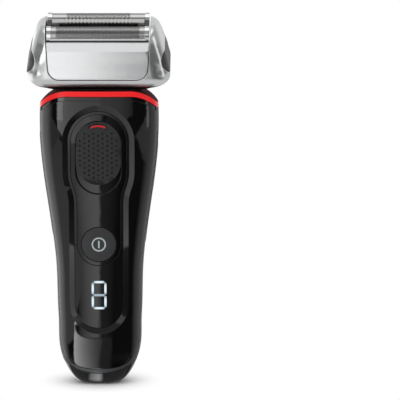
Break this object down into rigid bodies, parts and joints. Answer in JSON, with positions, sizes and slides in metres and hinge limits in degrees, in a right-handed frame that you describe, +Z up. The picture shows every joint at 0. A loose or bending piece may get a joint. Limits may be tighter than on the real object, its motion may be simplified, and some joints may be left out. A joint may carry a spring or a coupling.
{
  "type": "electric foil shaver",
  "caption": "Cordless foil shaver: tapered gloss handle with lock slide, power button and lit digit, tilting silver head with a lift-off foil cassette.",
  "frame": {"origin": "middle of the charging inlet's mouth, level with the bottom of the foot", "axes": "+Z up along the handle, -Y to the front with the button and display, +X to the right seen from the front"},
  "size_m": [0.0606, 0.0364, 0.1586],
  "materials": {
    "gloss_black": "piano gloss",
    "soft_black": "soft-touch matte",
    "trim_black": "satin gloss",
    "lens_black": "smoked clear gloss",
    "signal_red": "gloss",
    "grey_rubber": "moulded matte",
    "button_grey": "fine matte",
    "symbol_grey": "printed matte",
    "digit_white": "lit diffuser",
    "silver": "satin silver metallic paint",
    "dark_grey": "fine matte",
    "inner_black": "moulded matte",
    "chrome": "polished",
    "foil_steel": "perforated bright foil",
    "blade_steel": "ground",
    "plain_steel": "plain",
    "core_steel": "laminated",
    "copper_wire": "enamelled winding",
    "board_green": "solder mask",
    "cell_wrap": "wrapped can",
    "contact_gold": "plated"
  },
  "bodies": {
    "handle": {"front_shell": "gloss_black", "rear_shell": "soft_black", "seam_gasket": "trim_black", "neck_collar": "signal_red", "end_cap": "gloss_black", "panel_bezel": "trim_black", "control_panel": "gloss_black", "display_lens": "lens_black", "display_segments": "digit_white", "led_block": "symbol_grey", "main_board": "board_green", "power_switch": "dark_grey", "inner_frame": "inner_black", "battery_cell": "cell_wrap", "inlet_socket": "inner_black", "inlet_pins": "contact_gold", "frame_screws": "plain_steel", "neck_yoke": "inner_black", "pivot_pins": "plain_steel"},
    "lock_slider": {"lock_slider": "grey_rubber", "slider_mark": "signal_red", "lock_bolt": "inner_black"},
    "power_button": {"power_button": "button_grey", "power_symbol": "symbol_grey"},
    "long_trimmer": {"trimmer_carriage": "soft_black", "trimmer_comb": "blade_steel"},
    "trimmer_cutter": {"trimmer_cutter": "blade_steel"},
    "head": {"head_frame": "silver", "head_base": "inner_black", "drive_deck": "inner_black", "drive_rods": "plain_steel", "motor_core": "core_steel", "motor_coil": "copper_wire"},
    "drive_front": {"front_drive_bridge": "plain_steel"},
    "drive_rear": {"rear_drive_bridge": "plain_steel"},
    "release_left": {"release_button_left": "dark_grey"},
    "release_right": {"release_button_right": "dark_grey"},
    "cassette": {"cassette_frame": "inner_black", "front_plate": "silver", "rear_plate": "silver"},
    "front_foil": {"front_foil_frame": "chrome", "front_foil": "foil_steel"},
    "rear_foil": {"rear_foil_frame": "chrome", "rear_foil": "foil_steel"},
    "middle_trimmer": {"middle_guard": "blade_steel", "middle_carrier": "inner_black"},
    "front_cutter": {"front_cutter": "blade_steel"},
    "rear_cutter": {"rear_cutter": "blade_steel"},
    "middle_cutter": {"middle_cutter": "blade_steel"}
  },
  "joints": [
    {"name": "head_pivot", "type": "hinge", "parent": "handle", "child": "head", "pos_m": [0, 0, 0.1362], "axis": [1, 0, 0], "range_deg": [-40, 0]},
    {"name": "lock_slide", "type": "slide", "parent": "handle", "child": "lock_slider", "axis": [0, 0, 1], "range_m": [-0.0039, 0]},
    {"name": "power_press", "type": "slide", "parent": "handle", "child": "power_button", "axis": [0, 1, 0], "range_m": [0, 0.0008], "stiffness_N_per_m": 300},
    {"name": "trimmer_slide", "type": "slide", "parent": "handle", "child": "long_trimmer", "axis": [0, 0, 1], "range_m": [0, 0.008]},
    {"name": "trimmer_cut", "type": "slide", "parent": "long_trimmer", "child": "trimmer_cutter", "axis": [1, 0, 0], "range_m": [-0.0005, 0.0005]},
    {"name": "front_drive", "type": "slide", "parent": "head", "child": "drive_front", "axis": [1, 0, 0], "range_m": [-0.001, 0.001]},
    {"name": "rear_drive", "type": "slide", "parent": "head", "child": "drive_rear", "axis": [1, 0, 0], "range_m": [-0.001, 0.001]},
    {"name": "release_left_press", "type": "slide", "parent": "head", "child": "release_left", "axis": [1, 0, 0], "range_m": [0, 0.0012], "stiffness_N_per_m": 400},
    {"name": "release_right_press", "type": "slide", "parent": "head", "child": "release_right", "axis": [-1, 0, 0], "range_m": [0, 0.0012], "stiffness_N_per_m": 400},
    {"name": "cassette_lift", "type": "slide", "parent": "head", "child": "cassette", "axis": [0, -0.342, 0.9397], "range_m": [0, 0.026]},
    {"name": "front_foil_float", "type": "slide", "parent": "cassette", "child": "front_foil", "axis": [0, -0.342, 0.9397], "range_m": [-0.002, 0], "stiffness_N_per_m": 150, "springref_m": 0.002},
    {"name": "rear_foil_float", "type": "slide", "parent": "cassette", "child": "rear_foil", "axis": [0, -0.342, 0.9397], "range_m": [-0.002, 0], "stiffness_N_per_m": 150, "springref_m": 0.002},
    {"name": "middle_float", "type": "slide", "parent": "cassette", "child": "middle_trimmer", "axis": [0, -0.342, 0.9397], "range_m": [-0.002, 0], "stiffness_N_per_m": 150, "springref_m": 0.002},
    {"name": "front_cut", "type": "slide", "parent": "front_foil", "child": "front_cutter", "axis": [1, 0, 0], "range_m": [-0.001, 0.001]},
    {"name": "rear_cut", "type": "slide", "parent": "rear_foil", "child": "rear_cutter", "axis": [1, 0, 0], "range_m": [-0.001, 0.001]},
    {"name": "middle_cut", "type": "slide", "parent": "middle_trimmer", "child": "middle_cutter", "axis": [1, 0, 0], "range_m": [-0.001, 0.001]}
  ],
  "couplings": [
    {"joint": "rear_drive", "follows": "front_drive", "ratio": -1},
    {"joint": "front_cut", "follows": "front_drive", "ratio": 1},
    {"joint": "rear_cut", "follows": "front_drive", "ratio": -1},
    {"joint": "middle_cut", "follows": "front_drive", "ratio": -1}
  ]
}
